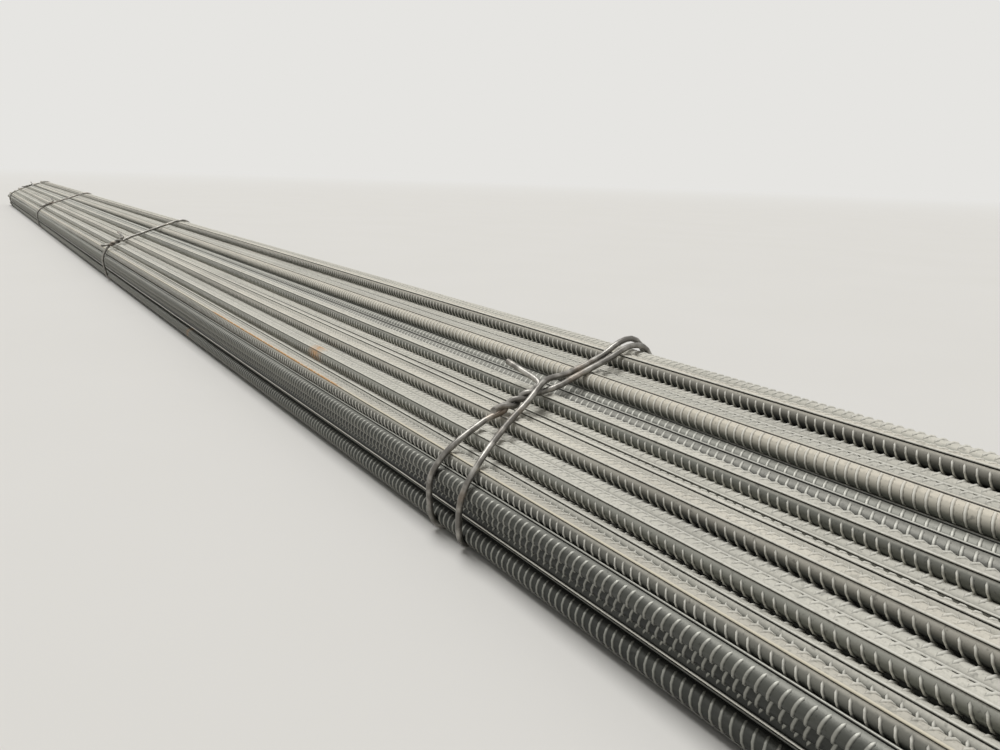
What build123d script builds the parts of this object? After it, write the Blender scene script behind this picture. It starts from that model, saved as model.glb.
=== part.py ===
from build123d import *
import os
from math import ceil, cos, pi, radians, sin, sqrt, tan

# Bundle of ribbed reinforcing bars, held by twisted wire ties, lying on a level floor.
# Millimetres. X runs along the bars, Y across them and Z up, with the origin on the
# floor under the middle of the bundle's own box.

# Bars
bar_diameter = 20.0  # nominal size, between the core's and the ribs'
bar_flats = 12  # so that each bar turns a corner to each of its six neighbours
bar_length = 9000.0
rib_stand_off = 1.0  # ribs keep two bars, or a bar and a wire, this far apart
row_slack = 0.8  # the widest extra gap between two bars of the bottom row
end_stagger = 24.0  # the furthest that a bar's end lies out of line, either way

# Rows from the floor up: place of the row's first bar, in bar pitches, and its bars
bar_rows = (
    (0, 14),
    (0.5, 14),
    (0, 15),
    (-0.5, 15),
    (0, 15),
    (1.5, 13),
    (3, 11),
    (5.5, 8),
    (8, 5),
    (10.5, 2),
)

# Wire ties
wire_diameter = 6.5
wire_flats = 8
strand_gap = 0.4  # between two strands of wire that lie together
twist_pitch = 30.0  # length of one full turn of a twisted knot
twist_quarters = 6  # quarter turns in a knot
lead_length = 6.0  # free wire between a knot and where the wire meets the bars
tail_length = 46.0  # long cut end that sticks out of a knot
tail_angle = 20.0  # how steeply it rises from the bars
stub_length = 16.0  # short cut end at the knot's other side
tail_bend = 8.0  # from the twist to the bend of a cut end
winding_gap = 14.0  # between the two windings of a doubled tie, from its knot to the crest
winding_splay = 0.45  # what this gap gains with each millimetre towards the steep side
cross_place = 46.0  # from the knot to where the second winding crosses the first
cross_height = 12.0  # rise of the second winding there
cross_half = 14.0  # half the length of that rise's top
cross_side = 10.0  # how far its ends lie to either side of the crossing
cross_lead = 20.0  # free wire between that rise and where the wire meets the bars
bend_share = 0.48  # of a straight run, the most that one bend takes up
bend_step = 24.0  # the most that a wire turns from one of a bend's short runs to the next
slack_wire = 0.35  # a bar that stands out less than this doesn't bend the wire

# Each tie: its place along the bars, its windings, and its knot's way in from the steep side
ties = (
    (-4200, 1, 110),
    (-2600, 2, 88),
    (-300, 1, 30),
    (2000, 1, 50),
    (4200, 1, 120),
)

bar_radius = bar_diameter / 2
bar_corner = bar_radius * sqrt(2 * pi / (bar_flats * sin(2 * pi / bar_flats)))
bar_pitch = bar_diameter + rib_stand_off
wire_radius = wire_diameter / 2
wire_corner = wire_radius / cos(pi / wire_flats)
wrap_radius = bar_radius + rib_stand_off + wire_radius
floor_row_height = wire_diameter + rib_stand_off + bar_radius
twist_radius = wire_corner + strand_gap / 2
twist_corner = twist_radius * sqrt(2)
twist_length = twist_pitch * twist_quarters / 4


def unevenness(number, seed):
    """A share from 0 to 1 that changes irregularly from one number to the next."""
    return (sin(number * 1.7 + seed) + sin(number * 0.63 + 2.1 * seed)) / 4 + 0.5


def nestle(first, second):
    """Centre of a bar that lies against two others, left of the way between them."""
    across = second - first
    rise = sqrt(bar_pitch**2 - (across.length / 2) ** 2)
    return (first + second) / 2 + Vector(0, -across.Z, across.Y).normalized() * rise


def floor_row(first, count, seed):
    """Centres of the bars on the floor, side by side with uneven gaps."""
    row, across = {}, 0.0
    for number in range(count):
        row[first + number] = Vector(0, -across, floor_row_height)
        across += bar_pitch + row_slack * unevenness(number, seed)
    return row


def next_row(below, first, count):
    """Centres of a row whose bars lie in the valleys of the row below it."""
    sites = [first + number for number in range(count)]
    row = {
        site: nestle(below[site + 0.5], below[site - 0.5])
        for site in sites
        if site - 0.5 in below and site + 0.5 in below
    }
    if sites[0] not in row:
        row[sites[0]] = nestle(row[sites[1]], below[sites[0] + 0.5])
    if sites[-1] not in row:
        row[sites[-1]] = nestle(below[sites[-1] - 0.5], row[sites[-2]])
    return row


def stacked_rows(seed):
    """All rows of the bundle's section at one end."""
    rows = [floor_row(*bar_rows[0], seed)]
    for first, count in bar_rows[1:]:
        rows.append(next_row(rows[-1], first, count))
    return rows


def bar_lines():
    """Start point and direction of each bar, row by row, from the two end sections."""
    lines = []
    for number, (near, far) in enumerate(zip(stacked_rows(0.4), stacked_rows(2.9))):
        row = []
        for place, site in enumerate(near):
            stagger = end_stagger * (2 * unevenness(place * 3, number) - 1)
            start = near[site] + Vector(stagger - bar_length / 2, 0, 0)
            way = far[site] - near[site] + Vector(bar_length, 0, 0)
            row.append((start, way.normalized()))
        lines.append(row)
    return lines


def bar(start, way):
    """One bar, with few flats and the sectional area of the nominal round."""
    section = Plane(origin=start, x_dir=(0, 1, 0), z_dir=way) * RegularPolygon(bar_corner, bar_flats)
    return extrude(section, bar_length)


def centre_at(line, station):
    """Centre of a bar where a plane across the bundle cuts it."""
    start, way = line
    point = start + way * ((station - start.X) / way.X)
    return Vector(0, point.Y, point.Z)


def bulge(before, point, after):
    """How far a point stands out to the left of the line between its neighbours."""
    line = after - before
    off = point - before
    return (line.Y * off.Z - line.Z * off.Y) / line.length


def outer_bars(centres):
    """Centres of the bars that a tight wire bends round, clockwise from above."""
    across = sorted(centres, key=lambda centre: centre.Y)
    outline = []
    for ordered in (across, across[::-1]):
        chain = []
        for centre in ordered:
            while len(chain) > 1 and bulge(chain[-2], chain[-1], centre) < slack_wire:
                chain.pop()
            chain.append(centre)
        outline += chain[:-1]
    return outline


def outward(before, after):
    """Unit vector out of the bundle, square to a run that goes round clockwise."""
    along = after - before
    return Vector(0, -along.Z, along.Y).normalized()


def from_knot(centres, inset):
    """The outer bars, from the one after the knot round to the one before it."""
    runs = range(len(centres))
    start = next(n for n in runs if centres[n - 1].Y <= -inset < centres[n].Y)
    return centres[start:] + centres[:start]


def wrap_corners(centres):
    """Corner points of a tight wire's straight runs, one for each bar it bends round."""
    corners = []
    for number, centre in enumerate(centres):
        first = outward(centres[number - 1], centre)
        second = outward(centre, centres[(number + 1) % len(centres)])
        corners.append(centre + (first + second) * (wrap_radius / (1 + first.dot(second))))
    return corners


def strand(place, out, along, phase):
    """Corner points of one of the two strands that twist round each other in a knot."""
    points = []
    for quarter in range(twist_quarters + 1):
        angle = radians(phase + 90 * quarter)
        axis = out * twist_corner + along * (quarter * twist_pitch / 4 - twist_length / 2)
        around = out * cos(angle) + Vector(1, 0, 0) * sin(angle)
        points.append(place + axis + around * twist_corner)
    return points


def winding(corners, place, along, side, ahead, behind):
    """Corners of one turn round the bundle, without those that its lifted ends pass over.

    Side is 0 for a single tie, and 1 and -1 for the two windings of a doubled one.
    """
    turn = []
    for corner in corners:
        step = (corner - place).dot(along)
        if corner.Z < place.Z / 2 or not -behind < step < ahead:
            gap = winding_gap + winding_splay * max(0, corner.Y - place.Y)
            turn.append(corner + Vector(side * gap / 2, 0, 0))
    return turn


def tie_route(centres, windings, inset):
    """Corner points of a tie, from one cut end round the bundle to the other."""
    centres = from_knot(outer_bars(centres), inset)
    corners = wrap_corners(centres)
    out = outward(centres[-1], centres[0])
    along = (centres[0] - centres[-1]).normalized()
    place = centres[0] + along * ((-inset - centres[0].Y) / along.Y) + out * wrap_radius
    lengthwise = Vector(1, 0, 0)
    first, last = strand(place, out, along, 0), strand(place, out, along, 180)
    rise = radians(tail_angle)
    tail = first[0] + (out / 2 - along) * tail_bend
    tail_end = tail + (lengthwise * cos(rise) + out * sin(rise)) * tail_length
    stub = last[-1] + along * tail_bend
    stub_end = stub + (out / 2 + along - lengthwise).normalized() * stub_length
    reach = twist_length / 2 + lead_length
    route = [tail_end, tail] + first
    if windings == 1:
        route += winding(corners, place, along, 0, reach, reach)
    else:
        crossing = place - along * cross_place + out * cross_height
        askew = along * cross_half - lengthwise * cross_side
        clear = cross_place + cross_half + cross_lead
        route += winding(corners, place, along, 1, reach, clear)
        route += [crossing - askew, crossing + askew]
        route += winding(corners, place, along, -1, cross_lead, reach)
    return route + last + [stub, stub_end]


def bend_radius(before, corner, after):
    """Radius of a bend: the bar's, or less where its two runs leave less room."""
    turn = radians((corner - before).get_angle(after - corner))
    room = bend_share * min((corner - before).length, (after - corner).length)
    return min(wrap_radius, room / tan(turn / 2))


def bend(before, corner, after):
    """Corners of the short runs that follow the arc between two straight runs."""
    turn = radians((corner - before).get_angle(after - corner))
    radius = bend_radius(before, corner, after)
    back, on = (before - corner).normalized(), (after - corner).normalized()
    inward, onward = (back + on).normalized(), (on - back).normalized()
    centre = corner + inward * (radius / cos(turn / 2))
    steps = ceil(turn / radians(bend_step))
    reach = radius / cos(turn / steps / 2)
    angles = [turn * ((step + 0.5) / steps - 0.5) for step in range(steps)]
    return [centre + (onward * sin(angle) - inward * cos(angle)) * reach for angle in angles]


def wire_tie(route):
    """One tie, a wire of few flats swept along straight runs and the bends between them."""
    bends = [bend(*route[n : n + 3]) for n in range(len(route) - 2)]
    path = Polyline(route[0], *[point for points in bends for point in points], route[-1])
    section = Plane(origin=path @ 0, z_dir=path % 0) * RegularPolygon(wire_corner, wire_flats)
    return sweep(section, path=path, transition=Transition.RIGHT)


def build():
    """Every named piece of the bundle."""
    lines = bar_lines()
    pieces = {}
    for number, row in enumerate(lines, start=1):
        pieces[f"bar_row_{number}"] = [bar(*line) for line in row]
    for number, (station, windings, inset) in enumerate(ties, start=1):
        centres = [centre_at(line, station) for row in lines for line in row]
        route = [point + Vector(station, 0, 0) for point in tie_route(centres, windings, inset)]
        pieces[f"wire_tie_{number}"] = [wire_tie(route)]
    return pieces


def main():
    """Centre the bundle over the origin and write each piece's file."""
    pieces = build()
    solids = [solid for group in pieces.values() for shape in group for solid in shape.solids()]
    box = Compound(children=solids).bounding_box()
    centring = Location((-box.center().X, -box.center().Y, -box.min.Z))
    os.makedirs("parts", exist_ok=True)
    for name, group in pieces.items():
        moved = [solid.moved(centring) for shape in group for solid in shape.solids()]
        export_step(Compound(children=moved) if len(moved) > 1 else moved[0], f"parts/{name}.step")


main()
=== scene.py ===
"""Looks of a bundle of ribbed reinforcing bars: bars, twisted wire ties, floor, light and camera.

Metres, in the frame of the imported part: +X runs along the bars, +Y across them towards the
bundle's low, steep side, +Z up from the floor.
"""
import logging
import math
from dataclasses import dataclass, field
from enum import Enum
from typing import ClassVar

import bmesh
import bpy
import numpy as np
from mathutils import Matrix, Vector


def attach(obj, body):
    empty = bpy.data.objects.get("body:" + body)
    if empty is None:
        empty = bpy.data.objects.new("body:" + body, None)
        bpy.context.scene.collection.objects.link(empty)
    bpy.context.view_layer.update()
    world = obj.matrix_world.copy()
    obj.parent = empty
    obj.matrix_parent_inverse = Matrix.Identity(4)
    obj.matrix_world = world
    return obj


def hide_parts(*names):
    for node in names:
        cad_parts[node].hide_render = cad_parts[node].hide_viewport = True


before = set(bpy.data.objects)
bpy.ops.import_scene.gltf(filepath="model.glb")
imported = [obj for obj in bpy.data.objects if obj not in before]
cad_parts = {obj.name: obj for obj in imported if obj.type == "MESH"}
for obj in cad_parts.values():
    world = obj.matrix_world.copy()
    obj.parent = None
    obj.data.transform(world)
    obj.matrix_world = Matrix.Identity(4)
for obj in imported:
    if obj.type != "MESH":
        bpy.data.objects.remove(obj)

LOG = logging.getLogger("rebar_bundle")
MM = 0.001
BODY = "root"
MERGE = 0.01 * MM

Tree = bpy.types.NodeTree
Socket = bpy.types.NodeSocket
Sockets = dict[str, Socket]


def linear(colour: str) -> tuple[float, float, float, float]:
    """Turn an sRGB hex colour to linear.

    Args:
        colour: Six hex digits after a hash.

    Returns:
        Red, green, blue and alpha, from 0 to 1.
    """
    shares = [int(colour[n : n + 2], 16) / 255 for n in (1, 3, 5)]
    return (*[s / 12.92 if s <= 0.04045 else ((s + 0.055) / 1.055) ** 2.4 for s in shares], 1.0)


def add_node(tree: Tree, kind: str, inputs: dict | None = None, **settings: object) -> bpy.types.Node:
    """Add one node to a material or a world.

    Args:
        tree: The node tree.
        kind: Blender's name of the node's type.
        inputs: For each input, by name or number, its value, its hex colour or the socket that feeds it.
        settings: Properties of the node itself.

    Returns:
        The new node.
    """
    node = tree.nodes.new(kind)
    for name, value in settings.items():
        setattr(node, name, value)
    for key, value in (inputs or {}).items():
        if isinstance(value, Socket):
            tree.links.new(value, node.inputs[key])
        else:
            node.inputs[key].default_value = linear(value) if isinstance(value, str) else value
    return node


def new_material(name: str) -> tuple[bpy.types.Material, Tree]:
    """Make an empty node material.

    Args:
        name: The material's name.

    Returns:
        The material and its node tree.
    """
    material = bpy.data.materials.new(name)
    material.use_nodes = True
    material.node_tree.nodes.clear()
    return material, material.node_tree


def new_object(name: str, mesh: bpy.types.Mesh) -> bpy.types.Object:
    """Put a mesh into the scene as an object at the origin.

    Args:
        name: The object's name.
        mesh: Its mesh, with its place in it.

    Returns:
        The object.
    """
    thing = bpy.data.objects.new(name, mesh)
    bpy.context.scene.collection.objects.link(thing)
    return thing


def evaluated_mesh(thing: bpy.types.Object) -> bpy.types.Mesh:
    """Apply an object's modifiers, and delete the object.

    Args:
        thing: The object.

    Returns:
        A mesh of its final shape.
    """
    bpy.context.view_layer.update()
    mesh = bpy.data.meshes.new_from_object(thing.evaluated_get(bpy.context.evaluated_depsgraph_get()))
    bpy.data.objects.remove(thing)
    return mesh


class Cover(Enum):
    """How much of a bar shows."""

    OPEN = "open"
    BURIED = "buried"


class Turn(Enum):
    """How a bar lies rolled: angle of its long rib from the side that it is seen from, upwards.

    The open bars that aren't among SEEN_BARS draw one of them by chance.
    """

    RIB_BELOW = math.radians(-14)
    RIB_ASIDE = math.radians(34)
    RIB_ON_SHOULDER = math.radians(52)
    RIB_HIGH = math.radians(65)
    RIB_ON_TOP = math.radians(-88)
    RIB_NEAR_TOP = math.radians(76)
    CRESCENTS_OUT = math.radians(110)


@dataclass(frozen=True)
class Lie:
    """How one bar lies in the bundle, and what lies on it.

    Attributes:
        turn: How it is rolled.
        dust: How thick the dust on it is, from 0 to 1.
        warm: How tan the dust is, from 0 to 1.
        side: How much of the dust clings to the bar's side, from 0 to 1.
        gilt: How brightly worn its long rib is, with a painted highlight along its top, from 0 to 1. It is as
            tan as the dust.
        streak: Middle of its rust streak, in metres along X.
        streak_half: Half the length of that streak, 0 for a bar without one.
    """

    turn: Turn
    dust: float
    warm: float = 0.15
    side: float = 0.5
    gilt: float = 0.0
    streak: float = 0.0
    streak_half: float = 0.0


# Values that a bar's whole surface shares, and those that differ over its ribs and ends
BAR_VALUES = ("tone", "dust", "warm", "side", "gilt", "streak", "streak_half")
RIB_VALUES = ("crest", "nook", "cut", "long")

# The bars that show on the steep side and up to the crest: row, and place from the steep side
SEEN_BARS = {
    (1, 0): Lie(Turn.CRESCENTS_OUT, 0.05, streak=-1.4, streak_half=0.015),
    (2, 0): Lie(Turn.RIB_BELOW, 0.1, 0.0, side=0.3, gilt=1.0),
    (3, 0): Lie(Turn.RIB_ON_TOP, 0.1, side=0.3),
    (4, 0): Lie(Turn.RIB_ON_TOP, 0.14, side=0.3),
    (5, 0): Lie(Turn.RIB_ON_SHOULDER, 0.8, 0.35, 0.3, gilt=0.8, streak=-1.95, streak_half=0.35),
    (5, 1): Lie(Turn.RIB_HIGH, 0.8, side=0.15),
    (6, 0): Lie(Turn.RIB_ON_SHOULDER, 0.9, side=0.4, streak=-2.11, streak_half=0.03),
    (6, 1): Lie(Turn.RIB_ASIDE, 0.9, 0.1),
    (7, 0): Lie(Turn.RIB_ON_SHOULDER, 0.95, 0.35, side=0.75),
    (7, 1): Lie(Turn.RIB_HIGH, 0.95, 0.2, side=0.9),
    (7, 2): Lie(Turn.RIB_ASIDE, 0.9),
    (8, 0): Lie(Turn.RIB_ON_SHOULDER, 0.9, 0.2, side=0.2),
    (8, 1): Lie(Turn.CRESCENTS_OUT, 0.32, 0.1, side=0.4),
    (8, 2): Lie(Turn.CRESCENTS_OUT, 0.28, 0.1, side=0.4),
    (9, 0): Lie(Turn.CRESCENTS_OUT, 0.9, 0.6, side=0.8),
    (9, 1): Lie(Turn.RIB_ASIDE, 0.75),
    (9, 2): Lie(Turn.RIB_ASIDE, 0.85),
    (10, 0): Lie(Turn.RIB_ON_SHOULDER, 1.0, 0.4, side=0.45),
    (10, 1): Lie(Turn.RIB_ASIDE, 0.9, 0.2),
}


@dataclass
class BarLine:
    """Where one bar lies, and what shows of it.

    Attributes:
        near: Centre of its end at the low X side.
        far: Centre of its other end.
        row: Its row, from 1 on the floor.
        place: Its place in the row, from the steep side.
        cover: Whether it shows from outside the bundle.
        facing: Angle of its open side from +Y towards +Z.
    """

    near: Vector
    far: Vector
    row: int
    place: int = 0
    cover: Cover = Cover.BURIED
    facing: float = 0.0

    def middle(self) -> Vector:
        """Return the bar's middle point."""
        return (self.near + self.far) / 2


@dataclass
class Stack:
    """The bars' places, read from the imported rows.

    Attributes:
        rows: How many rows there are.
        reach: Two bars nearer than this, in metres, lie side by side.
        hemmed_in: A bar with this many others beside it doesn't show.
        underside: An open side that points further down than this can't be seen.
        lines: The bars, row by row.
    """

    rows: int = 10
    reach: float = 25 * MM
    hemmed_in: int = 6
    underside: float = -0.8
    lines: list[BarLine] = field(default_factory=list)

    def read(self) -> None:
        """Read every bar's ends from the frame and find the open bars."""
        for row in range(1, self.rows + 1):
            self.lines += self.row_lines(row)
        for line in self.lines:
            self.look_round(line)

    def row_lines(self, row: int) -> list[BarLine]:
        """Read one row of the frame.

        Args:
            row: The row's number.

        Returns:
            Its bars, from the steep side on.
        """
        prisms = bmesh.new()
        prisms.from_mesh(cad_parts[f"bar_row_{row}"].data)
        bmesh.ops.remove_doubles(prisms, verts=prisms.verts, dist=MERGE)
        prisms.verts.index_update()
        lines, unread = [], set(prisms.verts)
        while unread:
            island, edge = set(), [unread.pop()]
            while edge:
                vert = edge.pop()
                island.add(vert)
                found = {e.other_vert(vert) for e in vert.link_edges} - island
                edge += found
                island |= found
            unread -= island
            corners = sorted(island, key=lambda vert: vert.index)
            ends = [[v.co for v in corners if (v.co.x > 0) is far] for far in (False, True)]
            near, far = [sum(end, Vector()) / len(end) for end in ends]
            lines.append(BarLine(near, far, row))
        prisms.free()
        lines.sort(key=lambda line: -line.near.y)
        for place, line in enumerate(lines):
            line.place = place
        return lines

    def look_round(self, line: BarLine) -> None:
        """Find whether a bar has an open side, and where it faces.

        Args:
            line: The bar, which gets its cover and its facing.
        """
        here = line.middle().yz
        steps = [other.middle().yz - here for other in self.lines if other is not line]
        beside = [step.normalized() for step in steps if step.length < self.reach]
        away = -sum(beside, Vector((0, 0)))
        if len(beside) < self.hemmed_in and away.y > self.underside * away.length:
            line.cover = Cover.OPEN
            line.facing = math.atan2(away.y, away.x)

    def centres(self, station: float) -> np.ndarray:
        """Return the bars' centres, as rows of Y and Z, where a plane across X cuts them."""
        shares = [(station - line.near.x) / (line.far.x - line.near.x) for line in self.lines]
        return np.array([line.near.lerp(line.far, share).yz for line, share in zip(self.lines, shares)])


@dataclass(frozen=True)
class RibbedBar:
    """A hot-rolled bar with crescent ribs on two sides and a long rib between them.

    It is made along +X from the origin, with its crescents on top and below.

    Attributes:
        core_radius: Radius of the round between the ribs.
        rib_pitch: Way from one cross rib to the next.
        rib_height: The most that a cross rib stands out.
        rib_foot: Width of a cross rib at its foot.
        rib_spread: How far a crescent runs round the bar.
        rib_lean: How far a crescent's two ends lie apart along the bar.
        long_height: How far a long rib stands out.
        long_foot: Width of a long rib at its foot.
        long_top: Width of its top, as a share of its foot's.
        long_bevel: Width of the bevel along its top.
        long_crest: How much of the long rib's top counts as rubbed and painted with a highlight, from 0 to 1.
        long_nook: How far the painted shade, partly dirt, reaches up from its foot, 1 for the height of a
            cross rib's.
        sunk: How deep the ribs' feet go into the core.
        rib_end: Share of its height that a crescent keeps close to its tips.
        rib_steps: Straight lengths that make up a crescent.
        end_ribs: Cross ribs that a buried bar shows at each end.
        spans: Lengths into which an open bar is divided, so that it can bow.
        sides: Sides of an open bar's core.
        buried_sides: Sides of a buried bar's core.
    """

    core_radius: float = 9.65 * MM
    rib_pitch: float = 10 * MM
    rib_height: float = 1.7 * MM
    rib_foot: float = 4.6 * MM
    rib_spread: float = math.radians(168)
    rib_lean: float = 8 * MM
    long_height: float = 2.0 * MM
    long_foot: float = 2.5 * MM
    long_top: float = 0.62
    long_bevel: float = 0.35 * MM
    long_crest: float = 0.8
    long_nook: float = 2.2
    sunk: float = 0.3 * MM
    rib_end: float = 0.42
    rib_steps: int = 6
    end_ribs: int = 4
    spans: int = 30
    sides: int = 24
    buried_sides: int = 16

    def crescent(self, ribs: bmesh.types.BMesh, side: float, shift: float) -> None:
        """Add one cross rib: a ridge that fades out at both its ends.

        Args:
            ribs: The mesh that gets it.
            side: 1 for the bar's top and -1 for its underside.
            shift: Its place along the bar.
        """
        crest, nook = ribs.verts.layers.float["crest"], ribs.verts.layers.float["nook"]
        made = bmesh.ops.create_grid(ribs, x_segments=2, y_segments=self.rib_steps, size=1)
        for vert in made["verts"]:
            across, along = vert.co.x, vert.co.y
            ridge = abs(across) < 0.5
            fade = self.rib_end + (1 - self.rib_end) * math.sqrt(max(0.0, 1 - along**2))
            tip = abs(along) > 0.99
            radius = self.core_radius + (self.rib_height * fade if ridge else -self.sunk)
            angle = along * self.rib_spread / 2
            leaned = shift + side * along * self.rib_lean / 2
            lengthwise = leaned + across * self.rib_foot / 2 * (0.5 + fade / 2)
            # crest marks the rib's ridge, which the material lightens as wear and as a painted highlight
            vert[crest] = 1.0 if ridge else 0.0
            # nook marks the rib's feet, which the material darkens with painted shade, partly dirt
            vert[nook] = 0.0 if ridge else 1.0
            if tip:
                radius, lengthwise = self.core_radius - self.sunk, leaned
            vert.co = (lengthwise, side * radius * math.sin(angle), side * radius * math.cos(angle))
        bmesh.ops.remove_doubles(ribs, verts=made["verts"], dist=MERGE)

    def cross_ribs(self, count: int, start: float, sides: tuple[int, ...]) -> bpy.types.Mesh:
        """Make a run of cross ribs on one or both sides of a bar.

        Args:
            count: Ribs on each side.
            start: Place of the first one along the bar.
            sides: 1 for the bar's top, -1 for its underside.

        Returns:
            The run's mesh.
        """
        ribs = bmesh.new()
        for name in ("crest", "nook"):
            ribs.verts.layers.float.new(name)
        for side in sides:
            self.crescent(ribs, side, start + (self.rib_pitch / 2 if side < 0 else 0))
        pair = bpy.data.meshes.new("rib_pair")
        ribs.to_mesh(pair)
        ribs.free()
        for face in pair.polygons:
            face.use_smooth = True
        thing = new_object("rib_pair", pair)
        array = thing.modifiers.new("run", "ARRAY")
        array.use_relative_offset = False
        array.use_constant_offset = True
        array.constant_offset_displace = (self.rib_pitch, 0, 0)
        array.count = count
        return evaluated_mesh(thing)

    def body(self, length: float, cover: Cover) -> bpy.types.Mesh:
        """Make a bar's core, with its two long ribs where the bar is open to view.

        Args:
            length: The bar's length.
            cover: How much of it shows.

        Returns:
            The mesh.
        """
        core = bmesh.new()
        for name in ("crest", "nook", "long"):
            core.verts.layers.float.new(name)
        cut = core.loops.layers.float.new("cut")
        shown = cover is Cover.OPEN
        segments = self.sides if shown else self.buried_sides
        bmesh.ops.create_circle(core, cap_ends=True, radius=self.core_radius, segments=segments)
        bmesh.ops.rotate(core, verts=core.verts, matrix=Matrix.Rotation(math.pi / 2, 3, "Y"))
        made = bmesh.ops.extrude_face_region(core, geom=core.faces[:])
        far = [part for part in made["geom"] if isinstance(part, bmesh.types.BMVert)]
        bmesh.ops.translate(core, verts=far, vec=(length, 0, 0))
        bmesh.ops.recalc_face_normals(core, faces=core.faces)
        if shown:
            for side in (1, -1):
                self.long_rib(core, length, side)
            lengthwise = [e for e in core.edges if abs(e.verts[0].co.x - e.verts[1].co.x) > length / 2]
            bmesh.ops.subdivide_edges(core, edges=lengthwise, cuts=self.spans - 1, use_grid_fill=True)
        for face in core.faces:
            face.smooth = abs(face.normal.x) < 0.5 and len(face.verts) == 4
            if abs(face.normal.x) >= 0.5:
                for corner in face.loops:
                    corner[cut] = 1.0
        mesh = bpy.data.meshes.new("bar_body")
        core.to_mesh(mesh)
        core.free()
        return mesh

    def long_rib(self, core: bmesh.types.BMesh, length: float, side: float) -> None:
        """Add one of the two long ribs, narrower on top than at its foot.

        Args:
            core: The bar's mesh.
            length: The bar's length.
            side: 1 for the rib at +Y and -1 for the other.
        """
        crest, nook, long = [core.verts.layers.float[name] for name in ("crest", "nook", "long")]
        made = bmesh.ops.create_cube(core, size=1)
        for vert in made["verts"]:
            top = vert.co.y * side > 0
            width = self.long_foot * (self.long_top if top else 1.0)
            radius = self.core_radius + (self.long_height if top else -2 * self.sunk)
            # The long rib's top is marked for wear and a painted highlight
            vert[crest] = self.long_crest if top else 0.0
            # The long rib's foot gets painted shade, partly dirt, reaching up its sides
            vert[nook] = 0.0 if top else self.long_nook
            vert[long] = 1.0
            vert.co = ((vert.co.x + 0.5) * length, side * radius, vert.co.z * width)
        tops = [e for e in core.edges if all(v in made["verts"] and v[crest] > 0.5 for v in e.verts)]
        long_tops = [e for e in tops if abs(e.verts[0].co.x - e.verts[1].co.x) > length / 2]
        bmesh.ops.bevel(
            core, geom=long_tops, affect="EDGES", offset=self.long_bevel,
            segments=1, profile=0.5, material=-1,
        )


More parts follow.
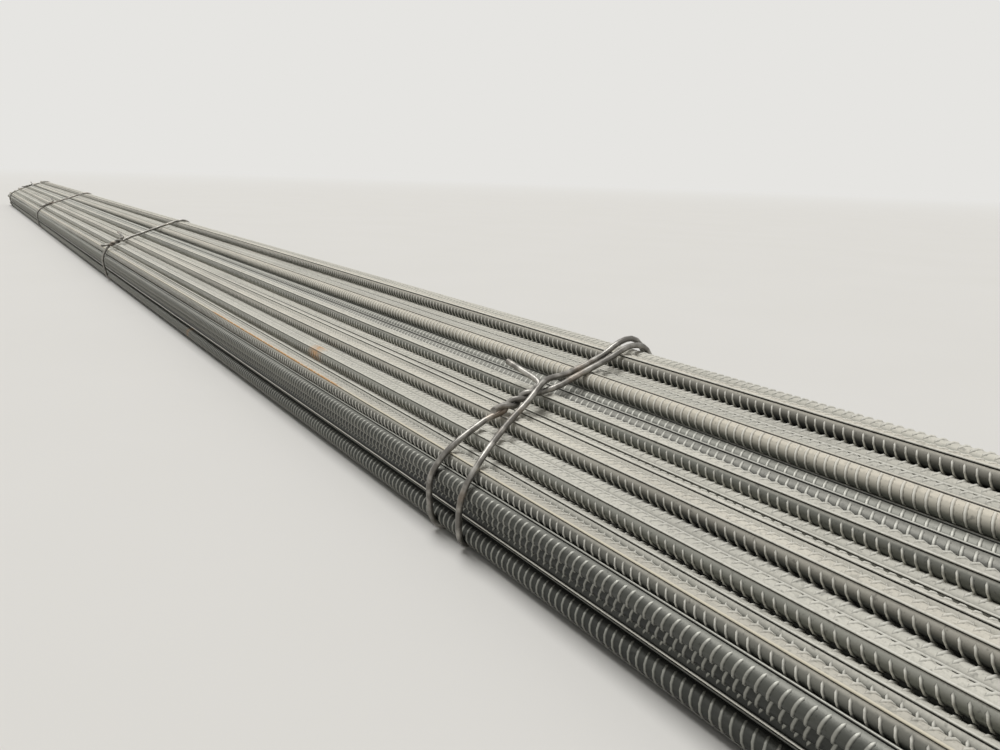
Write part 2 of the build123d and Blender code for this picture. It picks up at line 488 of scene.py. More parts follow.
@dataclass(frozen=True)
class MillScaleSteel:
    """Ribbed bar steel, hot-rolled: dark grey mill scale, half gloss, under pale mill dust.

    The eye gets grey ribs over black valleys on the flank: the ribs' crests lighter as a painted highlight,
    and their feet darker as painted shade, partly dirt. Pale dust lies on all that faces up, rib tops are
    rubbed bright with a painted highlight, and a few orange streaks show where rust breaks through. Cut
    ends are bare and show the marks of the shear.

    Attributes:
        blotch: Width of the patches in the scale and in the dust.
        stretch: How fast a drawn-out pattern changes along itself, as a share of its rate across.
        speck: Size of the specks of dirt and rust.
        grain: Size of the dust's grains. Real ones are under 0.1 mm and wouldn't show, so they
            are drawn coarser.
        shear_mark: Width of the lines that the shear leaves. Real ones are about 0.3 mm wide and
            are drawn coarser, so that they show.
        coarseness: How rough the patterns' fine detail is.
        pit_depth: Depth of the pits in the scale and the dust.
        pit_share: How strongly the pits show.
        rough: Roughness of clean scale and of dust or rust.
        metal: How metallic clean scale is.
    """

    scale_dark: str = "#222424"
    scale_pale: str = "#6f716a"
    rib_crest_highlight: str = "#a2a29a"
    dust_grey: str = "#c3c1b6"
    dust_pale: str = "#e4e2d8"
    dust_tan: str = "#dbd0bc"
    # Colour of the painted shade at the ribs' feet, partly dirt, and of the dark specks of dirt
    shade_and_grime: str = "#0f0f0e"
    # Rubbed rib tops: wear, and a painted highlight along the crests
    rubbed: str = "#e6e4db"
    # Tan of the long rib's worn top, which also serves as a painted highlight
    gilded: str = "#d3cbb6"
    cut_dull: str = "#4e4a45"
    cut_bright: str = "#a09a90"
    rust: str = "#c69660"
    blotch: float = 55 * MM
    stretch: float = 0.2
    speck: float = 6 * MM
    grain: float = 1.6 * MM
    shear_mark: float = 2.5 * MM
    coarseness: float = 0.62
    pit_depth: float = 0.14 * MM
    pit_share: float = 0.9
    rough: tuple[float, float] = (0.46, 0.88)
    metal: float = 0.75

    # Values that come before the ramps, each with the sum or difference that makes it
    MEASURES: ClassVar[dict[str, tuple[str, ...]]] = {
        "toned": ("ADD", "patches", "tone"),
        "ahead": ("SUBTRACT", "x", "streak"),
        "behind": ("SUBTRACT", "streak", "x"),
        "way": ("MAXIMUM", "ahead", "behind"),
        "inside": ("SUBTRACT", "streak_half", "way"),
    }

    # Each ramp: the value that it reads, where it starts and ends, and what it gives there
    RAMPS: ClassVar[dict[str, tuple[str, float, float, float, float]]] = {
        # Mill scale: a random tone of its own for each bar, and on clean bars a painted highlight that
        # lightens the ribs' crests
        "shade": ("toned", 0.4, 1.3, 0.0, 1.0),
        "rib": ("crest", 0.1, 0.65, 0.0, 1.0),
        "clean": ("dust", 0.0, 0.9, 0.75, 0.1),
        # Dust: thick where the bar faces up, broken by specks and patches, a film on its sides
        "flat": ("up", 0.35, 0.85, 0.0, 1.0),
        "broken": ("specks", 0.28, 0.48, 0.6, 1.0),
        "thin": ("patches", 0.25, 0.55, 0.7, 1.0),
        "slope": ("up", -0.35, 0.6, 0.0, 0.9),
        # Painted shade, partly dirt, along the ribs' feet, less of it where the bar faces up, and dark specks
        # of dirt
        "foot": ("nook", 0.3, 0.95, 0.0, 1.0),
        "low": ("up", 0.1, 0.8, 0.95, 0.6),
        "spots": ("specks", 0.6, 0.7, 0.0, 0.4),
        # Rubbed ribs with a painted highlight: their tops, most on the sides of dusty bars, and scuffed away
        # in places; then the long rib's top, as tan as the dust
        "top": ("crest", 0.45, 0.9, 0.0, 1.0),
        "dusty_bar": ("dust", 0.1, 0.55, 0.12, 0.95),
        "on_side": ("up", 0.6, 0.95, 1.0, 0.5),
        "scuffed": ("specks", 0.3, 0.5, 0.5, 1.0),
        "long_top": ("crest", 0.3, 0.7, 0.0, 1.0),
        "tan": ("warm", 0.0, 0.35, 0.0, 1.0),
        # Rust: it fades over 40 mm, is ragged, and keeps to the long rib of a gilded bar
        "fade": ("inside", 0.0, 40 * MM, 0.0, 1.0),
        "ragged": ("specks", 0.36, 0.5, 0.0, 1.0),
        "not_gilded": ("gilt", 0.0, 0.8, 1.0, 0.0),
        # Cut ends: lines of the shear, a shade of its own for each bar, and rust
        "lines": ("shear", 0.35, 0.65, 0.0, 1.0),
        "bright": ("tone", 0.0, 1.0, 0.25, 1.0),
        "end_rust": ("specks", 0.5, 0.62, 0.0, 0.6),
    }

    # How much there is of each coat
    SHARES: ClassVar[dict[str, tuple[str, ...]]] = {
        # Lighter rib crests on clean bars: a painted highlight
        "ribbed": ("MULTIPLY", "rib", "clean"),
        "thick": ("MULTIPLY", "flat", "broken", "thin"),
        "film": ("MULTIPLY", "slope", "thin", "side"),
        "either": ("MAXIMUM", "thick", "film"),
        "dusty": ("MULTIPLY", "either", "dust"),
        # Painted shade along the ribs' feet, partly dirt, with the dark specks of dirt
        "feet_shade_and_dirt": ("MULTIPLY", "foot", "low"),
        "shade_and_dirt": ("MAXIMUM", "feet_shade_and_dirt", "spots"),
        # Rubbed rib tops: wear and a painted highlight
        "worn": ("MULTIPLY", "top", "dusty_bar", "on_side", "scuffed"),
        # The long rib's top, worn and painted with a highlight
        "long_rib_wear_and_highlight": ("MULTIPLY", "long_top", "long", "gilt"),
        "where": ("MAXIMUM", "not_gilded", "long"),
        "rusty": ("MULTIPLY", "fade", "ragged", "where"),
        "sheared": ("MULTIPLY", "lines", "bright"),
        "covered": ("MAXIMUM", "dusty", "rusty"),
    }

    def patterns(self, tree: Tree) -> Sockets:
        """Read each bar's own values and add the patterns that the whole finish shares.

        Args:
            tree: The material's nodes.

        Returns:
            Their sockets, by name.
        """
        found = {
            name: add_node(tree, "ShaderNodeAttribute", attribute_name=name).outputs["Fac"]
            for name in (*BAR_VALUES, *RIB_VALUES)
        }
        place = add_node(tree, "ShaderNodeTexCoord").outputs["Object"]
        long_way = add_node(tree, "ShaderNodeMapping", {"Vector": place, "Scale": (self.stretch, 1, 1)})
        upright = add_node(tree, "ShaderNodeMapping", {"Vector": place, "Scale": (1, 1, self.stretch)})
        for name, vector, size, detail in (
            ("patches", long_way.outputs[0], self.blotch, 5.0),
            ("specks", place, self.speck, 4.0),
            ("grain", place, self.grain, 3.0),
            ("shear", upright.outputs[0], self.shear_mark, 3.0),
        ):
            inputs = {"Vector": vector, "Scale": 1 / size, "Detail": detail, "Roughness": self.coarseness}
            found[name] = add_node(tree, "ShaderNodeTexNoise", inputs).outputs["Fac"]
        normal = add_node(tree, "ShaderNodeNewGeometry").outputs["Normal"]
        found["up"] = add_node(tree, "ShaderNodeSeparateXYZ", {0: normal}).outputs["Z"]
        found["x"] = add_node(tree, "ShaderNodeSeparateXYZ", {0: place}).outputs["X"]
        return found

    def work_out(self, tree: Tree, found: Sockets, sums: dict[str, tuple[str, ...]]) -> None:
        """Add the sums, products and maxima of a table.

        Args:
            tree: The material's nodes.
            found: The sockets so far, which get the new ones.
            sums: For each new name, the operation and the names that it takes, two or more.
        """
        for name, (operation, first, *others) in sums.items():
            found[name] = found[first]
            for other in others:
                pair = {0: found[name], 1: found[other]}
                found[name] = add_node(tree, "ShaderNodeMath", pair, operation=operation).outputs[0]

    def shares(self, tree: Tree, found: Sockets) -> None:
        """Add how much of each coat there is at each place.

        Args:
            tree: The material's nodes.
            found: The sockets that patterns() returned, which get the shares too.
        """
        self.work_out(tree, found, self.MEASURES)
        for name, (source, low, high, least, most) in self.RAMPS.items():
            ends = {"From Min": low, "From Max": high, "To Min": least, "To Max": most}
            found[name] = add_node(tree, "ShaderNodeMapRange", {"Value": found[source], **ends}).outputs[0]
        self.work_out(tree, found, self.SHARES)

    def colour(self, tree: Tree, found: Sockets) -> Socket:
        """Lay the coats over each other, from the mill scale up, and the cut ends last.

        Args:
            tree: The material's nodes.
            found: The sockets, with the shares.

        Returns:
            The colour.
        """
        for name, share, under, over in (
            ("plain_scale", "shade", self.scale_dark, self.scale_pale),
            # Ribs' crests lighter on clean bars: a painted highlight
            ("scale", "ribbed", "plain_scale", self.rib_crest_highlight),
            ("grey_dust", "grain", self.dust_grey, self.dust_pale),
            ("bar_dust", "warm", "grey_dust", self.dust_tan),
            ("with_dust", "dusty", "scale", "bar_dust"),
            # Painted shade at the ribs' feet, partly dirt, and dark specks of dirt
            ("with_shade_and_dirt", "shade_and_dirt", "with_dust", self.shade_and_grime),
            # Rib tops rubbed bright: wear and a painted highlight
            ("with_rubbing_and_highlight", "worn", "with_shade_and_dirt", self.rubbed),
            # The long rib's top: wear and a painted highlight, as tan as the dust
            ("gilt_and_highlight", "tan", self.rubbed, self.gilded),
            ("with_gilt_and_highlight", "long_rib_wear_and_highlight", "with_rubbing_and_highlight", "gilt_and_highlight"),
            ("with_rust", "rusty", "with_gilt_and_highlight", self.rust),
            ("bare_end", "sheared", self.cut_dull, self.cut_bright),
            ("end", "end_rust", "bare_end", self.rust),
            ("colour", "cut", "with_rust", "end"),
        ):
            coats = {0: found[share], 6: found.get(under, under), 7: found.get(over, over)}
            found[name] = add_node(tree, "ShaderNodeMix", coats, data_type="RGBA").outputs[2]
        return found["colour"]

    def material(self) -> bpy.types.Material:
        """Build the material.

        Returns:
            The material, which reads each bar's own attributes.
        """
        material, tree = new_material("hot_rolled_steel_with_mill_scale")
        found = self.patterns(tree)
        self.shares(tree, found)
        rough = add_node(
            tree, "ShaderNodeMapRange",
            {"Value": found["covered"], "From Max": 0.8, "To Min": self.rough[0], "To Max": self.rough[1]},
        )
        metal = add_node(
            tree, "ShaderNodeMapRange",
            {"Value": found["covered"], "From Max": 0.7, "To Min": self.metal, "To Max": 0.0},
        )
        bump = add_node(
            tree, "ShaderNodeBump",
            {"Height": found["grain"], "Distance": self.pit_depth, "Strength": self.pit_share},
        )
        shader = add_node(
            tree, "ShaderNodeBsdfPrincipled",
            {
                "Base Color": self.colour(tree, found),
                "Roughness": rough.outputs[0],
                "Metallic": metal.outputs[0],
                "Normal": bump.outputs[0],
            },
        )
        add_node(tree, "ShaderNodeOutputMaterial", {"Surface": shader.outputs[0]})
        return material


@dataclass(frozen=True)
class AnnealedWire:
    """Tie wire of soft iron, drawn and annealed.

    The eye gets a dark grey-brown skin of half gloss, rubbed pale in places and rusty in patches.

    Attributes:
        patch: Size of the rusty patches.
        scratch: Length of the rubbed places. The marks in them are far finer in real wire and
            wouldn't show, so only the places are drawn.
        mark_depth: Depth of the rubbed places.
        rough: Roughness of the skin and of rust.
        metal: How metallic the wire is.
    """

    skin: str = "#74716c"
    rubbed: str = "#b3b0a9"
    rust: str = "#a08467"
    patch: float = 60 * MM
    scratch: float = 16 * MM
    mark_depth: float = 0.04 * MM
    rough: tuple[float, float] = (0.38, 0.8)
    metal: float = 0.7

    def material(self) -> bpy.types.Material:
        """Build the material.

        Returns:
            The material.
        """
        material, tree = new_material("annealed_drawn_iron_wire")
        place = add_node(tree, "ShaderNodeTexCoord").outputs["Object"]
        patches = add_node(
            tree, "ShaderNodeTexNoise", {"Vector": place, "Scale": 1 / self.patch, "Detail": 5.0}
        ).outputs["Fac"]
        marks = add_node(
            tree, "ShaderNodeTexNoise", {"Vector": place, "Scale": 1 / self.scratch, "Detail": 4.0}
        ).outputs["Fac"]
        rubbed_share = add_node(
            tree, "ShaderNodeMapRange", {"Value": marks, "From Min": 0.45, "From Max": 0.7}
        ).outputs[0]
        skin = add_node(
            tree, "ShaderNodeMix", {0: rubbed_share, 6: self.skin, 7: self.rubbed}, data_type="RGBA"
        ).outputs[2]
        rust_share = add_node(
            tree, "ShaderNodeMapRange", {"Value": patches, "From Min": 0.54, "From Max": 0.7, "To Max": 0.4}
        ).outputs[0]
        colour = add_node(
            tree, "ShaderNodeMix", {0: rust_share, 6: skin, 7: self.rust}, data_type="RGBA"
        ).outputs[2]
        gloss = add_node(
            tree, "ShaderNodeMapRange",
            {"Value": rust_share, "To Min": self.rough[0], "To Max": self.rough[1]},
        ).outputs[0]
        bump = add_node(
            tree, "ShaderNodeBump", {"Height": marks, "Distance": self.mark_depth, "Strength": 0.4}
        ).outputs[0]
        shader = add_node(
            tree, "ShaderNodeBsdfPrincipled",
            {"Base Color": colour, "Roughness": gloss, "Metallic": self.metal, "Normal": bump},
        )
        add_node(tree, "ShaderNodeOutputMaterial", {"Surface": shader.outputs[0]})
        return material


@dataclass
class BarRow:
    """One row of bars as a joined mesh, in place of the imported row.

    Attributes:
        number: The row, from 1 on the floor.
        stack: Where the bars lie.
        bar: The bar's section and ribs.
        finish: The bars' material.
        seed: Where its random draws start.
        slip: How far a bar's roll strays from its named turn.
        flank: An open side that points this far sideways lies on a flank.
        turned_in: A side that points this far into the bundle can't be seen.
        wave: The most that a bar bows out of line, across and up. Neighbours that bow together overlap.
        half_waves: The least and the most half waves of that bow, across and up.
        least_tone: How much the clean bars' shades differ, as a share of the dusty ones'.
        first_rib: How far the first cross rib strays, as a share of the ribs' pitch.
        clean_dust: The least and the most dust on a buried bar or one on a flank.
        top_dust: The same for a bar on top.
    """

    number: int
    stack: Stack
    bar: RibbedBar
    finish: bpy.types.Material
    seed: int = 5
    slip: float = math.radians(7)
    flank: float = 0.6
    turned_in: float = -0.8
    wave: float = 1.0 * MM
    half_waves: tuple[float, float] = (3, 5)
    least_tone: float = 0.1
    first_rib: float = 0.3
    clean_dust: tuple[float, float] = (0.1, 0.4)
    top_dust: tuple[float, float] = (0.5, 0.95)

    def build(self) -> bpy.types.Object:
        """Make the row's mesh and put it in the frame.

        Returns:
            The row's object.
        """
        row = bmesh.new()
        for place, line in enumerate(line for line in self.stack.lines if line.row == self.number):
            self.add_bar(row, line, np.random.default_rng((self.seed, self.number, place)))
        mesh = bpy.data.meshes.new(f"ribbed_bars_{self.number}")
        row.to_mesh(mesh)
        row.free()
        mesh.materials.append(self.finish)
        thing = new_object(f"ribbed_bars_{self.number}", mesh)
        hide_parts(f"bar_row_{self.number}")
        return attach(thing, BODY)

    def add_bar(self, row: bmesh.types.BMesh, line: BarLine, dice: np.random.Generator) -> None:
        """Add one bar to the row.

        Args:
            row: The row's mesh.
            line: Where the bar lies.
            dice: The bar's own random draws.
        """
        length = (line.far - line.near).length
        ribs = int(length / self.bar.rib_pitch) - 2
        first = self.bar.rib_pitch * (1 + dice.uniform(-self.first_rib, self.first_rib))
        lie, roll = self.lie(line, dice)
        parts = [self.bar.body(length, line.cover)]
        if line.cover is Cover.OPEN:
            parts.append(self.bar.cross_ribs(ribs, first, self.ribbed_sides(line, roll)))
        else:
            last = length - self.bar.rib_pitch * (self.bar.end_ribs + 2 * self.first_rib)
            parts += [self.bar.cross_ribs(self.bar.end_ribs, start, (1, -1)) for start in (first, last)]
        lay = (line.far - line.near).to_track_quat("X", "Z").to_matrix().to_4x4()
        into_place = Matrix.Translation(line.near) @ lay @ Matrix.Rotation(roll, 4, "X")
        values = {"tone": dice.uniform(0, 1) * (self.least_tone + (1 - self.least_tone) * lie.dust)}
        values |= {name: getattr(lie, name) for name in BAR_VALUES if name != "tone"}
        wave = dice.uniform(0, 2 * math.pi, 2), dice.uniform(*self.half_waves, 2)
        for part in parts:
            part.transform(into_place)
            self.bow(part, line, *wave)
            for name, value in values.items():
                layer = part.attributes.new(name, "FLOAT", "POINT")
                layer.data.foreach_set("value", np.full(len(part.vertices), value, np.float32))
            row.from_mesh(part)
            bpy.data.meshes.remove(part)

    def lie(self, line: BarLine, dice: np.random.Generator) -> tuple[Lie, float]:
        """Choose how a bar lies.

        Args:
            line: The bar.
            dice: Its random draws.

        Returns:
            Its lie, and the angle of its long rib from +Y towards +Z.
        """
        slip = dice.uniform(-self.slip, self.slip)
        chance = Lie(dice.choice(list(Turn)), dice.uniform(*self.clean_dust))
        if (line.row, line.place) in SEEN_BARS:
            lie = SEEN_BARS[line.row, line.place]
            return lie, lie.turn.value + slip
        if line.cover is Cover.BURIED:
            return chance, dice.uniform(0, 2 * math.pi)
        if abs(math.cos(line.facing)) > self.flank:
            return Lie(Turn.CRESCENTS_OUT, chance.dust), math.pi - Turn.CRESCENTS_OUT.value + slip
        return Lie(chance.turn, dice.uniform(*self.top_dust)), math.pi - chance.turn.value + slip

    def ribbed_sides(self, line: BarLine, roll: float) -> tuple[int, ...]:
        """Tell on which sides an open bar's cross ribs can be seen.

        Args:
            line: The bar.
            roll: The angle of its long rib.

        Returns:
            1 for the side before the long rib and -1 for the one behind it, or both.
        """
        sides = {side: math.cos(roll + side * math.pi / 2 - line.facing) for side in (1, -1)}
        return tuple(side for side, outward in sides.items() if outward > self.turned_in)

    def bow(self, part: bpy.types.Mesh, line: BarLine, start: np.ndarray, turns: np.ndarray) -> None:
        """Bend a bar by up to the row's wave, across and up, as bars lie that aren't quite straight.

        Args:
            part: The mesh to bend.
            line: Where the bar lies.
            start: The two waves' phases.
            turns: How many half waves the bar has, across and up.
        """
        if line.cover is Cover.BURIED:
            return
        points = np.empty(len(part.vertices) * 3, np.float32)
        part.vertices.foreach_get("co", points)
        points = points.reshape(-1, 3)
        share = (points[:, 0] - line.near.x) / (line.far.x - line.near.x)
        for axis in (1, 2):
            points[:, axis] += self.wave * np.sin(start[axis - 1] + math.pi * turns[axis - 1] * share)
        part.vertices.foreach_set("co", points.ravel())
        part.update()


@dataclass
class WireTie:
    """One tie of soft wire round the bars, its two ends twisted together on top.

    Attributes:
        number: The tie's number, from the low X end.
        station: Its place along the bars.
        windings: How often it goes round.
        inset: How far its knot lies in from the steep side's lowest bar.
        stack: The bars.
        finish: Its material.
        line: The tight line round the bars, with its outward vectors.
        total: That line's length.
        sense: 1 or -1, the way in which the knot's strands run.
        crest: Way along the line from the knot to the bundle's highest bar.
        shoulder: Way to the corner between its top and its steep side.
        bar_reach: How far the tight line holds the wire's inner side from the centres of the bars. The
            smooth wire cuts inside that line at its bends.
        strand_gap: Room between the knot's two strands.
        twist_length: Length of the knot.
        twist_turns: Full turns in it.
        twist_steps: Straight lengths that make up one of its strands.
        lead: Free wire between the knot and the bars.
        step: Way from one point of the wire to the next, round the bundle.
        winding_gap: How far two windings lie apart between the knot and the crest.
        winding_splay: What this gap gains with each metre towards the steep side.
        cross_place: Way from the knot to where the second winding crosses the first.
        cross_height: The most that it rises there.
        cross_reach: Half the way that the crossing takes.
        cross_early: How far the rise comes before the crossing.
        beside_knot: How far the windings move apart to pass the knot.
        crest_slack: How far each winding stands off the crest.
        crest_reach: How far this slack runs to either side.
        shoulder_ease: Points over which the bend at the shoulder is evened, to either side.
        shoulder_reach: How far this bend runs to either side.
        slew: How far a doubled tie leans along the bars at the shoulder.
        slew_reach: How far this lean runs to either side.
        tail_length: Length of the long cut end.
        tail_rise: How steeply it rises.
        tail_bend: From the knot to the bend where it starts.
        stub_length: Length of the short cut end.
        stub_bend: From the knot to the bend where that starts.
    """

    number: int
    station: float
    windings: int
    inset: float
    stack: Stack
    finish: bpy.types.Material
    wire_radius: float = 3.6 * MM
    bar_reach: float = 11.0 * MM
    strand_gap: float = 0.3 * MM
    twist_length: float = 52 * MM
    twist_turns: float = 1.5
    twist_steps: int = 18
    lead: float = 18 * MM
    step: float = 15 * MM
    winding_gap: float = 14 * MM
    winding_splay: float = 0.5
    cross_place: float = 36 * MM
    cross_height: float = 12 * MM
    cross_reach: float = 34 * MM
    cross_early: float = 8 * MM
    beside_knot: float = 6 * MM
    crest_slack: tuple[float, float] = (12 * MM, 6 * MM)
    crest_reach: float = 48 * MM
    shoulder_ease: int = 35
    shoulder_reach: float = 75 * MM
    slew: float = 24 * MM
    slew_reach: float = 95 * MM
    tail_length: float = 68 * MM
    tail_rise: float = math.radians(11)
    tail_bend: float = 5 * MM
    stub_length: float = 16 * MM
    stub_bend: float = 7 * MM
    line: tuple[np.ndarray, np.ndarray] = field(init=False)
    total: float = field(init=False)
    sense: float = field(init=False)
    crest: float = field(init=False)
    shoulder: float = field(init=False)

    def build(self) -> bpy.types.Object:
        """Make the tie's wire and put it in the frame.

        Returns:
            The tie's object.
        """
        curve = bpy.data.curves.new("wire", "CURVE")
        curve.dimensions = "3D"
        curve.bevel_depth = self.wire_radius
        curve.bevel_resolution = 2
        curve.resolution_u = 2
        curve.use_fill_caps = True
        route = self.route()
        spline = curve.splines.new("NURBS")
        spline.points.add(len(route) - 1)
        for point, place in zip(spline.points, route):
            point.co = (*place, 1)
        spline.order_u = 4
        spline.use_endpoint_u = True
        thing = new_object("wire", curve)
        mesh = evaluated_mesh(thing)
        mesh.name = f"tie_{self.number}"
        for face in mesh.polygons:
            face.use_smooth = len(face.vertices) == 4
        mesh.materials.clear()
        mesh.materials.append(self.finish)
        tie = new_object(f"tie_{self.number}", mesh)
        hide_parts(f"wire_tie_{self.number}")
        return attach(tie, BODY)

    def outline(self) -> tuple[np.ndarray, np.ndarray]:
        """Find the tight line round the bars at this station.

        Returns:
            Its points, as rows of Y and Z, and the outward unit vector at each. They start and end
            at the knot, and run over the crest and back under the bundle.
        """
        centres = self.stack.centres(self.station)
        ways = np.radians(np.arange(0, 360, 2.0))
        ways = np.c_[np.cos(ways), np.sin(ways)]
        support = centres[(centres @ ways.T).argmax(axis=0)] + (self.bar_reach + self.wire_radius) * ways
        closed = np.vstack([support, support[:1]])
        ways = np.r_[0, np.linalg.norm(np.diff(closed, axis=0), axis=1).cumsum()]
        even = np.arange(0, ways[-1], MM)
        points = self.eased(np.c_[np.interp(even, ways, closed[:, 0]), np.interp(even, ways, closed[:, 1])])
        knot_y = centres[:, 0].max() - self.inset
        top = [n for n in range(len(points)) if points[n, 1] > centres[:, 1].mean()]
        start = min(top, key=lambda n: abs(points[n, 0] - knot_y))
        points = np.roll(points, -start, axis=0)
        return points, self.outward(points)

    def outward(self, points: np.ndarray) -> np.ndarray:
        """Find the outward directions of a line that goes round the bundle.

        Args:
            points: The line's points, from the knot towards the crest.

        Returns:
            The unit vector at each point, evened over a few points.
        """
        along = np.roll(points, -3, axis=0) - np.roll(points, 3, axis=0)
        along /= np.linalg.norm(along, axis=1)[:, None]
        return np.c_[along[:, 1], -along[:, 0]]

    def eased(self, points: np.ndarray) -> np.ndarray:
        """Let a stiff wire stand off a little on both sides of the shoulder, in one wide bend.

        Args:
            points: The tight line, a point to the millimetre.

        Returns:
            The line with the wide bend, which touches the bars at the shoulder.
        """
        half = self.shoulder_ease
        wrapped = np.vstack([points[-half:], points, points[:half]])
        kernel = np.full(2 * half + 1, 1 / (2 * half + 1))
        mean = np.c_[np.convolve(wrapped[:, 0], kernel, "valid"), np.convolve(wrapped[:, 1], kernel, "valid")]
        outs = self.outward(points)
        corner = points.sum(axis=1).argmax()
        off = (np.arange(len(points)) - corner + len(points) / 2) % len(points) - len(points) / 2
        share = np.cos(np.clip(off * MM / self.shoulder_reach, -1, 1) * math.pi / 2) ** 2
        inset = ((points - mean) * outs).sum(axis=1)[np.abs(off) < half].max()
        return points + (mean + inset * outs - points) * share[:, None]

    def at(self, way: float, out: float, lengthwise: float) -> Vector:
        """Give a point by its place round the bundle.

        Args:
            way: Its way from the knot towards the crest, round the bundle.
            out: How far it lies outside the tight line.
            lengthwise: How far it lies along the bars from the tie's station.

        Returns:
            The point.
        """
        points, outs = self.line
        number = int(round(way / self.total * len(points))) % len(points)
        y, z = points[number] + outs[number] * out
        return Vector((self.station + lengthwise, y, max(z, self.wire_radius)))

    def gap(self, way: float) -> float:
        """Return how far two windings lie apart at a place round the bundle."""
        knot = self.line[0][0, 0]
        return self.winding_gap + self.winding_splay * max(0.0, self.at(way, 0, 0).y - knot)

    def strand(self, turn: float) -> list[Vector]:
        """Place one strand of the knot, from the crest's side to the steep side.

        Args:
            turn: The strand's angle at its start, from straight out.

        Returns:
            Its points.
        """
        radius = self.wire_radius + self.strand_gap / 2
        knot, out = self.line[0][0], self.line[1][0]
        along = np.array([-out[1], out[0]])
        points = []
        for number in range(self.twist_steps + 1):
            share = number / self.twist_steps
            angle = turn + share * self.twist_turns * 2 * math.pi
            rise = radius * (1 + math.cos(angle))
            y, z = knot + out * rise + along * self.twist_length * (share - 0.5) * self.sense
            points.append(Vector((self.station + radius * math.sin(angle), y, z)))
        return points

    def hump(self, way: float, top: float, reach: float) -> float:
        """Return a smooth rise from 0 to 1 and back about a place round the bundle."""
        off = (way - top + self.total / 2) % self.total - self.total / 2
        return math.cos(math.pi / 2 * off / reach) ** 2 if abs(off) < reach else 0.0

    def turns(self, start: float, end: float) -> list[Vector]:
        """Place the wire round the bundle, from the knot's steep side back to its other side.

        A doubled tie's second winding crosses over the first beside the knot.

        Args:
            start: Way from the knot to where the wire meets the bars.
            end: Way to where it leaves them.

        Returns:
            Its points.
        """
        points = []
        crossing = self.total - self.cross_place
        count = int((end - start) / self.step)
        for number in range(count + 1):
            gone = start + (end - start) * number / count
            lateral = lift = 0.0
            if self.windings > 1:
                share = min(1.0, max(0.0, (gone - crossing) / self.cross_reach / 2 + 0.5))
                side = math.cos(math.pi * share)
                near_knot = self.hump(-gone, 0, 3 * self.twist_length / 2) * (gone > crossing)
                lateral = side * (self.gap(-gone) / 2 + self.beside_knot * near_knot)
                lateral -= self.slew * self.hump(-gone, self.shoulder, self.slew_reach)
                top = self.cross_place - self.cross_early
                over = self.cross_height * self.hump(-gone, top, 1.4 * self.cross_reach)
                lift += over if abs(gone - crossing) < self.total / 2 else 0.0
                slack = self.crest_slack[0 if gone < self.total else 1]
                lift += slack * self.hump(-gone, self.crest, self.crest_reach)
            points.append(self.at(-gone, lift, lateral))
        return points

    def route(self) -> list[Vector]:
        """Place the whole wire, from its long cut end to its short one.

        Returns:
            The control points of its smooth line.
        """
        self.line = self.outline()
        self.total = np.linalg.norm(self.line[0] - np.roll(self.line[0], 1, axis=0), axis=1).sum()
        knot, out = self.line[0][0], Vector((0, *self.line[1][0]))
        ahead = Vector((0, *(self.line[0][3] - knot))).normalized()
        self.sense = -1.0 if Vector((0, -out.z, out.y)).dot(ahead) > 0 else 1.0
        self.crest = int(self.line[0][:, 1].argmax()) / len(self.line[0]) * self.total
        self.shoulder = int(self.line[0].sum(axis=1).argmax()) / len(self.line[0]) * self.total
        first, last = self.strand(0), self.strand(math.pi)
        reach = self.twist_length / 2 + self.lead
        bend = first[0] + ahead * self.tail_bend + out * MM
        rise = Vector((math.cos(self.tail_rise), 0, 0)) + out * math.sin(self.tail_rise)
        tail = [bend + rise * self.tail_length * share for share in (1, 0.66, 0.33, 0.1)]
        stub_bend = last[-1] - ahead * self.stub_bend
        stub_way = (out / 2 - ahead - Vector((1, 0, 0))).normalized()
        stub = [stub_bend + stub_way * self.stub_length * share for share in (0.1, 0.5, 1)]
        return tail + first + self.turns(reach, self.windings * self.total - reach) + last + stub


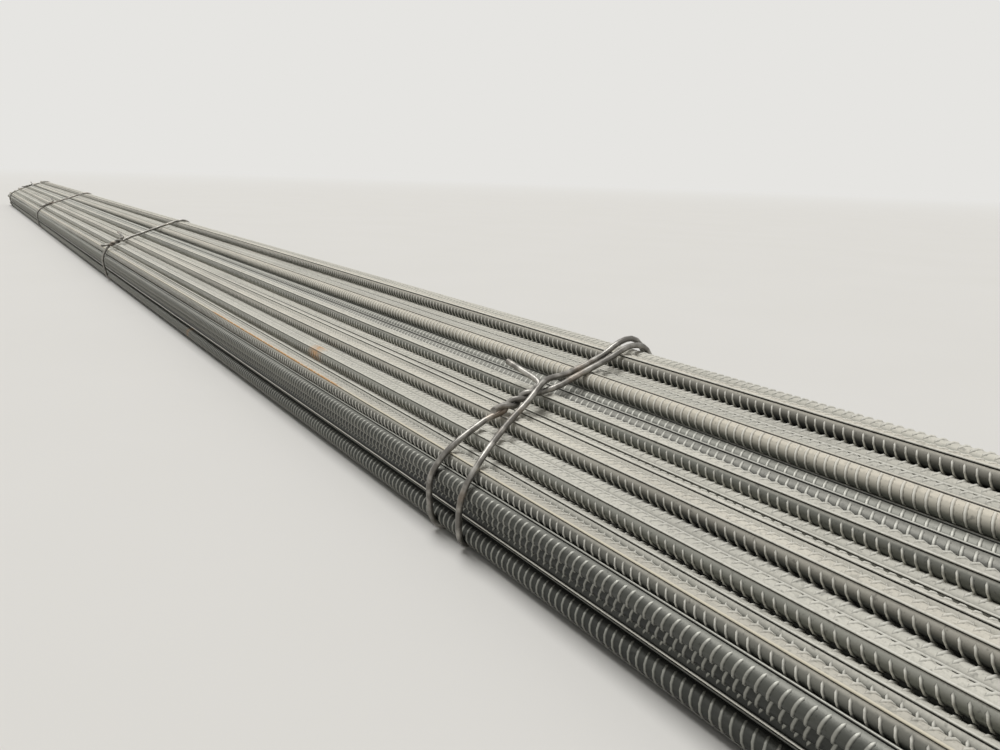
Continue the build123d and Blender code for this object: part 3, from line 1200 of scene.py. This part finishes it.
@dataclass(frozen=True)
class Studio:
    """The pale floor, the soft light and the camera.

    Attributes:
        eye: Where the camera stands.
        turn: How far it looks to the right of +X, in degrees.
        dip: How far it looks down, in degrees.
        roll: How far its right side is lifted, in degrees.
        focal: Focal length in pixels of the image.
        image_width: Width of that image in pixels.
        sensor_width: Width of the camera's sensor in millimetres.
        floor_half: Half the floor's width.
        cloud: Size of the faint clouds on the floor.
        fade_from: How far from the middle the floor starts to pass into the backdrop.
        fade_to: Where it has passed into it.
        world_light: Strength of the light from all sides.
        sun_light: Strength of the sun.
        sun_from: The direction that it comes from.
        sun_spread: Angle across it, which makes its shadows soft.
    """

    eye: tuple[float, float, float] = (-3.3635, 0.585, 0.40)
    turn: float = 33.0
    dip: float = 13.6
    roll: float = 1.9
    focal: float = 850.0
    image_width: float = 1000.0
    sensor_width: float = 36.0
    floor_half: float = 60.0
    floor_colour: str = "#d6d4cf"
    floor_cloud: str = "#dad8d4"
    backdrop_colour: str = "#e6e5e2"
    cloud: float = 0.5
    fade_from: float = 7.0
    fade_to: float = 26.0
    world_light: float = 0.40
    sun_light: float = 2.35
    sun_from: tuple[float, float, float] = (0.30, 0.12, 0.93)
    sun_spread: float = math.radians(32)

    def camera(self) -> None:
        """Set the camera at the photograph's viewing angle."""
        lens = bpy.data.cameras.new("camera")
        lens.sensor_width = self.sensor_width
        lens.lens = self.sensor_width * self.focal / self.image_width
        lens.clip_start, lens.clip_end = 0.02, 200.0
        camera = bpy.data.objects.new("camera", lens)
        turn, dip = math.radians(-self.turn), math.radians(self.dip)
        ahead = Vector((math.cos(dip) * math.cos(turn), math.cos(dip) * math.sin(turn), -math.sin(dip)))
        look = ahead.to_track_quat("-Z", "Y").to_matrix() @ Matrix.Rotation(math.radians(self.roll), 3, "Z")
        camera.matrix_world = Matrix.Translation(self.eye) @ look.to_4x4()
        bpy.context.scene.collection.objects.link(camera)
        bpy.context.scene.camera = camera

    def light(self) -> None:
        """Add the soft sun and the pale surroundings."""
        sun = bpy.data.lights.new("roof_light", "SUN")
        sun.energy, sun.angle = self.sun_light, self.sun_spread
        lamp = bpy.data.objects.new("roof_light", sun)
        lamp.rotation_euler = Vector(self.sun_from).to_track_quat("Z", "Y").to_euler()
        bpy.context.scene.collection.objects.link(lamp)
        world = bpy.data.worlds.new("pale_surroundings")
        bpy.context.scene.world = world
        world.use_nodes = True
        tree = world.node_tree
        tree.nodes.clear()
        ray = add_node(tree, "ShaderNodeLightPath").outputs
        seen = ray["Is Camera Ray"]
        for other in ("Is Glossy Ray", "Is Transmission Ray"):
            seen = add_node(tree, "ShaderNodeMath", {0: seen, 1: ray[other]}, operation="MAXIMUM").outputs[0]
        strength = add_node(
            tree, "ShaderNodeMapRange", {"Value": seen, "To Min": self.world_light, "To Max": 1.0}
        ).outputs[0]
        back = add_node(
            tree, "ShaderNodeBackground", {"Color": self.backdrop_colour, "Strength": strength}
        )
        add_node(tree, "ShaderNodeOutputWorld", {"Surface": back.outputs[0]})

    def floor(self) -> None:
        """Lay the pale floor."""
        plane = bmesh.new()
        bmesh.ops.create_grid(plane, x_segments=1, y_segments=1, size=self.floor_half)
        mesh = bpy.data.meshes.new("floor")
        plane.to_mesh(mesh)
        plane.free()
        material, tree = new_material("pale_studio_floor")
        place = add_node(tree, "ShaderNodeTexCoord").outputs["Object"]
        cloud = add_node(
            tree, "ShaderNodeTexNoise", {"Vector": place, "Scale": 1 / self.cloud, "Detail": 4.0}
        ).outputs["Fac"]
        colour = add_node(
            tree, "ShaderNodeMix",
            {0: cloud, 6: self.floor_colour, 7: self.floor_cloud}, data_type="RGBA",
        ).outputs[2]
        matte = add_node(tree, "ShaderNodeBsdfPrincipled", {"Base Color": colour, "Roughness": 0.9})
        backdrop = add_node(tree, "ShaderNodeEmission", {"Color": self.backdrop_colour, "Strength": 1.0})
        away = add_node(tree, "ShaderNodeVectorMath", {0: place}, operation="LENGTH").outputs["Value"]
        faded = add_node(
            tree, "ShaderNodeMapRange",
            {"Value": away, "From Min": self.fade_from, "From Max": self.fade_to},
            interpolation_type="SMOOTHSTEP",
        ).outputs[0]
        seen = add_node(
            tree, "ShaderNodeMath",
            {0: faded, 1: add_node(tree, "ShaderNodeLightPath").outputs["Is Camera Ray"]},
            operation="MULTIPLY",
        ).outputs[0]
        floor = add_node(tree, "ShaderNodeMixShader", {0: seen, 1: matte.outputs[0], 2: backdrop.outputs[0]})
        add_node(tree, "ShaderNodeOutputMaterial", {"Surface": floor.outputs[0]})
        mesh.materials.append(material)
        new_object("floor", mesh)

    def build(self) -> None:
        """Set up the whole studio."""
        self.camera()
        self.light()
        self.floor()
        bpy.context.scene.view_settings.view_transform = "Standard"


# Each tie: its place along the bars, its windings, and its knot's way in from the steep side
TIES = (
    (-4.200, 1, 110 * MM),
    (-2.606, 2, 92 * MM),
    (-0.300, 1, 30 * MM),
    (2.000, 1, 50 * MM),
    (4.200, 1, 120 * MM),
)


def main() -> None:
    """Build the studio, the bars and the ties, and note the sizes."""
    logging.basicConfig(level=logging.INFO, format="%(message)s")
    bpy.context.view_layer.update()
    Studio().build()
    stack = Stack()
    stack.read()
    shown = sum(line.cover is Cover.OPEN for line in stack.lines)
    LOG.info("%d bars, %d of them open to view", len(stack.lines), shown)
    bar_finish, wire_finish = MillScaleSteel().material(), AnnealedWire().material()
    for number in range(1, stack.rows + 1):
        row = BarRow(number, stack, RibbedBar(), bar_finish).build()
        LOG.info("%s: %d faces", row.name, len(row.data.polygons))
    for number, (station, windings, inset) in enumerate(TIES, start=1):
        tie = WireTie(number, station, windings, inset, stack, wire_finish).build()
        LOG.info("%s: %d faces", tie.name, len(tie.data.polygons))


if __name__ == "__main__":
    main()
